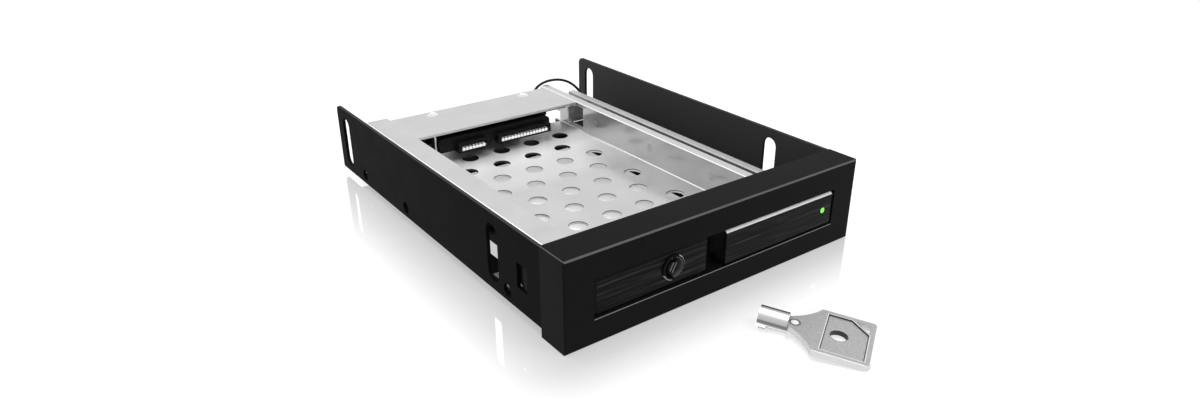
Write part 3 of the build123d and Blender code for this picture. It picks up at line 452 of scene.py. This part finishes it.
def brushed_black():
    """Black panel brushed along its length: a bright top edge on the handle, a painted shadow along the lock
    panel's top and left edges.
    """
    handle_start, turned_up = -1.0, 0.4
    material, tree, shader, place = new_material("panel_brushed")
    streaks = noise(tree, place, 40.0, detail=6.0, stretch=(1.0, 60.0, 60.0), roughness=0.72)
    hair = noise(tree, place, 160.0, detail=3.0, stretch=(0.6, 60.0, 60.0), roughness=0.6)
    tone = ramp(tree, streaks, [(0.40, grey(0.0008)), (0.52, grey(0.0055)), (0.64, grey(0.0320))])
    tree.links.new(tone, shader.inputs["Base Color"])
    tree.links.new(spread(tree, streaks, 0.30, 0.46), shader.inputs["Roughness"])
    shader.inputs["Specular IOR Level"].default_value = 0.05
    x, _, z = place_in_mm(tree)
    left, top = LOCK_PANEL_BORDER
    # painted shadow where the doorway's top and left edges shade the lock panel
    border = every(tree, below(tree, x, 0.0), greatest(tree, above(tree, z, top), below(tree, x, left)))
    paint(material, border, tone=0.0005)
    cut_edge = every(tree, above(tree, face_normal(tree)[2], turned_up), above(tree, x, handle_start))
    paint(material, cut_edge, tone=0.72)
    bump(tree, shader, hair, 0.00002)
    return material


def lit_plastic(name, colour, strength):
    """Clear plastic that shines with its own colour."""
    material, tree, shader, place = new_material(name)
    cloud = noise(tree, place, 900.0, detail=2.0)
    tone = ramp(tree, cloud, [(0.3, tuple(c * 0.86 for c in colour)), (0.7, colour)])
    tree.links.new(tone, shader.inputs["Base Color"])
    tree.links.new(tone, shader.inputs["Emission Color"])
    shader.inputs["Emission Strength"].default_value = strength
    shader.inputs["Roughness"].default_value = 0.22
    return material


def key_place(tree):
    """How far the point lies along the key and across it, in millimetres."""
    point = [maths(tree, "SUBTRACT", value, start) for value, start in zip(place_in_mm(tree), KEY_ORIGIN)]
    forward = (cos(KEY_TURN) * cos(KEY_TILT), sin(KEY_TURN) * cos(KEY_TILT), -sin(KEY_TILT))
    sideways = (-sin(KEY_TURN), cos(KEY_TURN), 0.0)
    return along(tree, point, forward), along(tree, point, sideways)


def cast_nickel():
    """Satin nickel of the key's bow: fine pits, with painted light and shade: a painted shade line and a
    painted highlight line round the framed panel, paler painted faces not turned up, painted shade in the
    hole, a dimple painted as a ring of shade round a highlight, and painted highlights along the outer edges.
    """
    frame_line, frame_middle, frame_highlight, rim_width = 0.24, 0.04, 0.26, 0.30
    material, tree, shader, place = new_material("key_nickel")
    pits = noise(tree, place, 2600.0, detail=3.0, roughness=0.65)
    speckle = noise(tree, place, 5200.0, detail=2.0, roughness=0.6)
    tree.links.new(ramp(tree, speckle, [(0.34, grey(0.30)), (0.66, grey(0.54))]), shader.inputs["Base Color"])
    tree.links.new(spread(tree, pits, 0.28, 0.38), shader.inputs["Roughness"])
    shader.inputs["Metallic"].default_value = 0.85
    forward, sideways = key_place(tree)
    beside = maths(tree, "ABSOLUTE", sideways)
    upward = face_normal(tree)[2]
    past_cut = maths(tree, "SUBTRACT", maths(tree, "ADD", forward, sideways), PANEL_CUT)
    panel = greatest(tree, maths(tree, "SUBTRACT", PANEL_START, forward),
                     maths(tree, "SUBTRACT", forward, PANEL_END), maths(tree, "SUBTRACT", beside, PANEL_HALF),
                     maths(tree, "MULTIPLY", past_cut, cos(radians(45.0))))
    outline = greatest(tree, maths(tree, "SUBTRACT", forward, BOW_END),
                       maths(tree, "SUBTRACT", beside, BOW_HALF))
    # painted light: faces not turned up painted paler
    paint(material, below(tree, upward, LEANING), tone=0.62)
    # painted shade line inside the panel's frame, then a painted highlight line on its bevel
    paint(material, between(tree, panel, -frame_line, frame_middle), tone=0.12)
    paint(material, between(tree, panel, frame_middle, frame_highlight), tone=0.78)
    # painted highlight along the bow's outer edges
    paint(material, every(tree, above(tree, outline, -rim_width), above(tree, upward, LEANING)), tone=0.95)
    from_hole = distance(tree, maths(tree, "SUBTRACT", forward, BOW_HOLE), sideways)
    # painted shade inside the bow's hole
    paint(material, below(tree, from_hole, BOW_HOLE_RADIUS), tone=0.05)
    from_dimple = distance(tree, maths(tree, "SUBTRACT", forward, DIMPLE), sideways)
    # the dimple: a ring of painted shade round a painted highlight
    paint(material, below(tree, from_dimple, DIMPLE_RADIUS), tone=0.16)
    paint(material, below(tree, from_dimple, DIMPLE_HIGHLIGHT), tone=0.97)
    bump(tree, shader, pits, 0.00007)
    return material


def turned_nickel():
    """Bright nickel of the key's tube, with painted light and shade: a painted white highlight band along it,
    between darker far and near sides of painted shade.
    """
    material, tree, shader, place = new_material("tube_nickel")
    fine = noise(tree, place, 1800.0, detail=2.0)
    to_the_near_side = along(tree, face_normal(tree), (sin(KEY_TURN), -cos(KEY_TURN), 0.0))
    # painted highlight and shade, set by which way the face turns
    painted_light_bands = ramp(tree, spread(tree, to_the_near_side, 0.0, 1.0, -1.0, 1.0), [
        (0.26, grey(0.08)), (0.44, grey(0.24)), (0.60, grey(0.50)), (0.64, grey(0.97)), (0.84, grey(0.97)),
        (0.89, grey(0.60)), (0.985, grey(0.46)), (0.997, grey(0.16))])
    tree.links.new(painted_light_bands, shader.inputs["Base Color"])
    tree.links.new(spread(tree, fine, 0.16, 0.24), shader.inputs["Roughness"])
    shader.inputs["Metallic"].default_value = 0.85
    bump(tree, shader, fine, 0.000002)
    return material


# Materials; the plain ones give their range of tones, range of roughness, grain and the grain's depth
door_black = grained("door_black", (0.005, 0.008), (0.40, 0.48), 5200.0, 0.000010, specular=0.03)
slide_silver = grained("slide_silver", (0.44, 0.52), (0.24, 0.32), 1800.0, 0.000002, metallic=0.78)
screw_zinc = grained("screw_zinc", (0.72, 0.80), (0.22, 0.30), 2400.0, 0.000003, metallic=0.8,
                     tint=(1.0, 0.96, 0.86))
laminate = grained("laminate", (0.005, 0.008), (0.34, 0.42), 1800.0, 0.000004, specular=0.1,
                   tint=(0.8, 1.0, 0.9))
port_black = grained("port_black", (0.006, 0.009), (0.36, 0.46), 4200.0, 0.000006, specular=0.1)
header_white = grained("header_white", (0.62, 0.70), (0.45, 0.55), 3000.0, 0.000006, tint=(1.0, 0.98, 0.92))
gilt = grained("gilt", (0.90, 0.96), (0.30, 0.38), 2600.0, 0.000002, metallic=0.3,
               tint=(1.0, 0.97, 0.86))
can = grained("can", (0.62, 0.70), (0.25, 0.32), 2000.0, 0.000002, metallic=0.8)
lead_black = grained("lead_black", (0.005, 0.008), (0.42, 0.52), 3500.0, 0.000006, specular=0.15)
panel_brushed = brushed_black()
led_green = lit_plastic("led_green", (0.16, 0.78, 0.03), strength=0.55)

looks = {
    "bezel": moulded_bezel(),
    "chassis": painted_sheet(),
    "drive_tray": tray_sheet(),
    "top_cover": cover_sheet(),
    "cover_screws": screw_zinc,
    "cover_rivets": slide_silver,
    "foot_screws": screw_zinc,
    "backplane": laminate,
    "board_post": port_black,
    "board_spacers": screw_zinc,
    "board_nuts": screw_zinc,
    "board_chip": port_black,
    "board_capacitor": can,
    "sata_socket": socket_moulding(),
    "signal_contacts": gilt,
    "power_contacts": gilt,
    "data_port": port_black,
    "data_port_contacts": gilt,
    "power_port": port_black,
    "power_port_contacts": gilt,
    "lead_header": header_white,
    "led": led_green,
    "led_holder": port_black,
    "guide_bushes": can,
    "guide_rivets": slide_silver,
    "ejector_slide": slide_silver,
    "door_body": door_black,
    "lock_panel": panel_brushed,
    "handle_panel": panel_brushed,
    "light_pipe": led_green,
    "hinge_pins": screw_zinc,
    "yoke_pin": screw_zinc,
    "lock_barrel": ring_metal(),
    "lock_clip": slide_silver,
    "lock_plug": core_metal(),
    "lock_cam": slide_silver,
    "cam_screw": screw_zinc,
    "key_bow": cast_nickel(),
    "key_tube": turned_nickel(),
}
for name, material in looks.items():
    mesh = nodes[name].data
    mesh.materials.clear()
    mesh.materials.append(material)

lead_curve.materials.append(lead_black)
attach(lead, "cage")
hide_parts("led_lead")


def vector_maths(tree, operation, *values):
    """One vector math node; each value is three numbers or another node's output."""
    node = tree.nodes.new("ShaderNodeVectorMath")
    node.operation = operation
    for socket, value in zip(node.inputs, values):
        if isinstance(value, tuple):
            socket.default_value = value
        else:
            tree.links.new(value, socket)
    return node.outputs


def near(tree, low, high, inner, outer, level):
    """A level that holds close to an upright box's footprint and fades to 0 away from it."""
    position = tree.nodes.new("ShaderNodeNewGeometry").outputs["Position"]
    past_high = vector_maths(tree, "SUBTRACT", position, high)["Vector"]
    past_low = vector_maths(tree, "SUBTRACT", low, position)["Vector"]
    past = vector_maths(tree, "MAXIMUM", past_high, past_low)["Vector"]
    outside = vector_maths(tree, "MAXIMUM", past, (0.0, 0.0, 0.0))["Vector"]
    reach = vector_maths(tree, "LENGTH", outside)["Value"]
    return spread(tree, reach, level, 0.0, inner, outer, "SMOOTHSTEP")


def simple_shader(tree, kind, colour, **values):
    """One shader node of a kind, with its colour and its other values."""
    node = tree.nodes.new(kind)
    node.inputs["Color"].default_value = (*colour, 1.0)
    for name, value in values.items():
        node.inputs[name].default_value = value
    return node.outputs[0]


def mixed(tree, factor, first, second):
    """Two shaders mixed, the second as far as the factor says."""
    node = tree.nodes.new("ShaderNodeMixShader")
    for socket, value in zip(node.inputs, (factor, first, second)):
        tree.links.new(value, socket)
    return node.outputs["Shader"]


# Floor: white, with the object's shadow and a soft reflection; below the board a painted shadow makes it
# dark, so that the tray's holes beside the socket look black
CAGE_LOW, CAGE_HIGH = (-0.0508, -0.005, -1.0), (0.0508, 0.1315, 1.0)
PAINTED_SHADOW_LOW, PAINTED_SHADOW_HIGH = (-0.026, 0.107, -1.0), (0.038, 0.115, 1.0)
GLOW_SHARE = 0.62
FLOOR_DROP = 0.00002        # keeps the floor clear of the faces that stand on it
floor_mesh = bpy.data.meshes.new("floor")
floor_form = bmesh.new()
bmesh.ops.create_grid(floor_form, x_segments=1, y_segments=1, size=4.0)
floor_form.to_mesh(floor_mesh)
floor_form.free()
floor = bpy.data.objects.new("floor", floor_mesh)
scene.collection.objects.link(floor)
floor.location = (0.0, 0.0, -FLOOR_DROP)
floor_material = bpy.data.materials.new("floor_white")
floor_material.use_nodes = True
tree = floor_material.node_tree
tree.nodes.clear()
output = tree.nodes.new("ShaderNodeOutputMaterial")
rays = tree.nodes.new("ShaderNodeLightPath")
matt = simple_shader(tree, "ShaderNodeBsdfDiffuse", grey(0.80))
glow = simple_shader(tree, "ShaderNodeEmission", WHITE, Strength=1.22)
gloss = simple_shader(tree, "ShaderNodeBsdfGlossy", WHITE, Roughness=0.04)
shadow = simple_shader(tree, "ShaderNodeBsdfDiffuse", grey(0.01))
seen = maths(tree, "MAXIMUM", rays.outputs["Is Camera Ray"], rays.outputs["Is Glossy Ray"])
lit = mixed(tree, maths(tree, "MULTIPLY", seen, GLOW_SHARE), matt, glow)
key_low, key_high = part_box("key_bow")
shine = maths(tree, "MAXIMUM", near(tree, CAGE_LOW, CAGE_HIGH, inner=0.0, outer=0.028, level=0.38),
              near(tree, (key_low[0], key_low[1], -1.0), (key_high[0], key_high[1], 1.0),
                   inner=0.002, outer=0.010, level=0.16))
surface = mixed(tree, shine, lit, gloss)
# painted shadow on the floor below the board
painted_shadow_under_board = near(tree, PAINTED_SHADOW_LOW, PAINTED_SHADOW_HIGH, inner=0.0, outer=0.003, level=0.97)
tree.links.new(mixed(tree, painted_shadow_under_board, surface, shadow), output.inputs["Surface"])
floor_mesh.materials.append(floor_material)

# World: white to the camera and in reflections, softer as a light
world = bpy.data.worlds.new("world")
scene.world = world
world.use_nodes = True
tree = world.node_tree
tree.nodes.clear()
output = tree.nodes.new("ShaderNodeOutputWorld")
rays = tree.nodes.new("ShaderNodeLightPath")
soft = simple_shader(tree, "ShaderNodeBackground", WHITE, Strength=0.62)
white = simple_shader(tree, "ShaderNodeBackground", WHITE, Strength=1.0)
kinds = ("Is Camera Ray", "Is Glossy Ray", "Is Transmission Ray")
seen = greatest(tree, *(rays.outputs[kind] for kind in kinds))
tree.links.new(mixed(tree, seen, soft, white), output.inputs["Surface"])


def area_light(name, place, target, size, power):
    """A rectangular lamp turned toward a target."""
    data = bpy.data.lights.new(name, "AREA")
    data.shape = "RECTANGLE"
    data.size, data.size_y = size
    data.energy = power
    lamp = bpy.data.objects.new(name, data)
    scene.collection.objects.link(lamp)
    lamp.location = place
    lamp.rotation_mode = "QUATERNION"
    lamp.rotation_quaternion = (Vector(target) - Vector(place)).to_track_quat("-Z", "Y")


middle = (0.0, 0.06, 0.01)
area_light("key_light", (-0.12, 0.16, 0.85), middle, size=(0.55, 0.40), power=5.0)
area_light("front_light", (0.10, -0.42, 0.66), middle, size=(0.45, 0.25), power=2.2)

scene.view_settings.view_transform = "Standard"
